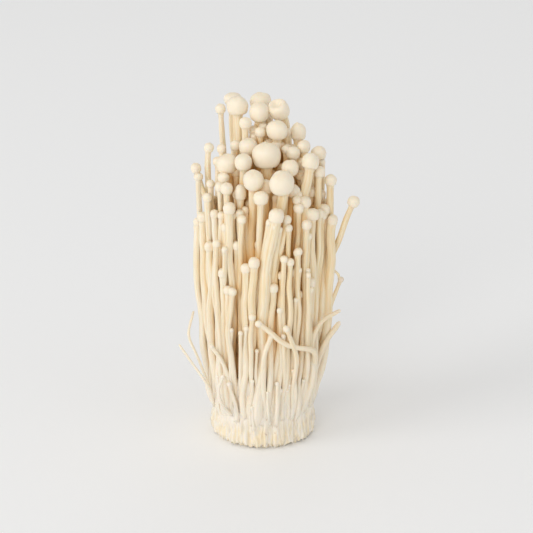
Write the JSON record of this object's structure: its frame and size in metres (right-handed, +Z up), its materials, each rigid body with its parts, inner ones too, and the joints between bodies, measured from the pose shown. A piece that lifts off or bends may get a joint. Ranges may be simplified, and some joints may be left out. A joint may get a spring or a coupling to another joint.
{
  "type": "enoki mushroom cluster",
  "caption": "Bunch of slender pale enoki mushrooms with small round caps, grown packed together from one cut base that it stands on.",
  "frame": {"origin": "centre of the flat cut underside of the base, which the bunch stands on", "axes": "+Z up along the stems, -Y towards the front of the bunch, +X to its right as seen from the front"},
  "size_m": [0.07, 0.0565, 0.1457],
  "materials": {
    "mushroom_flesh": "smooth, slightly moist cream skin with a soft sheen",
    "base_flesh": "dull off-white felt of fungal threads over fused feet"
  },
  "bodies": {
    "root": {"cut_base": "base_flesh", "crown_mushroom_01": "mushroom_flesh", "crown_mushroom_02": "mushroom_flesh", "crown_mushroom_03": "mushroom_flesh", "crown_mushroom_04": "mushroom_flesh", "crown_mushroom_05": "mushroom_flesh", "crown_mushroom_06": "mushroom_flesh", "crown_mushroom_07": "mushroom_flesh", "crown_mushroom_08": "mushroom_flesh", "crown_mushroom_09": "mushroom_flesh", "crown_mushroom_10": "mushroom_flesh", "crown_mushroom_11": "mushroom_flesh", "crown_mushroom_12": "mushroom_flesh", "crown_mushroom_13": "mushroom_flesh", "crown_mushroom_14": "mushroom_flesh", "crown_mushroom_15": "mushroom_flesh", "crown_mushroom_16": "mushroom_flesh", "crown_mushroom_17": "mushroom_flesh", "crown_mushroom_18": "mushroom_flesh", "crown_mushroom_19": "mushroom_flesh", "crown_mushroom_20": "mushroom_flesh", "crown_mushroom_21": "mushroom_flesh", "crown_mushroom_22": "mushroom_flesh", "crown_mushroom_23": "mushroom_flesh", "crown_mushroom_24": "mushroom_flesh", "crown_mushroom_25": "mushroom_flesh", "crown_mushroom_26": "mushroom_flesh", "crown_mushroom_27": "mushroom_flesh", "crown_mushroom_28": "mushroom_flesh", "crown_mushroom_29": "mushroom_flesh", "crown_mushroom_30": "mushroom_flesh", "front_mushroom_01": "mushroom_flesh", "front_mushroom_02": "mushroom_flesh", "front_mushroom_03": "mushroom_flesh", "front_mushroom_04": "mushroom_flesh", "front_mushroom_05": "mushroom_flesh", "front_mushroom_06": "mushroom_flesh", "front_mushroom_07": "mushroom_flesh", "front_mushroom_08": "mushroom_flesh", "front_mushroom_09": "mushroom_flesh", "front_mushroom_10": "mushroom_flesh", "front_mushroom_11": "mushroom_flesh", "front_mushroom_12": "mushroom_flesh", "front_mushroom_13": "mushroom_flesh", "front_mushroom_14": "mushroom_flesh", "front_mushroom_15": "mushroom_flesh", "front_mushroom_16": "mushroom_flesh", "front_mushroom_17": "mushroom_flesh", "front_mushroom_18": "mushroom_flesh", "front_mushroom_19": "mushroom_flesh", "back_mushroom_01": "mushroom_flesh", "back_mushroom_02": "mushroom_flesh", "back_mushroom_03": "mushroom_flesh", "back_mushroom_04": "mushroom_flesh", "back_mushroom_05": "mushroom_flesh", "back_mushroom_06": "mushroom_flesh", "back_mushroom_07": "mushroom_flesh", "back_mushroom_08": "mushroom_flesh", "back_mushroom_09": "mushroom_flesh", "back_mushroom_10": "mushroom_flesh"}
  },
  "joints": []
}
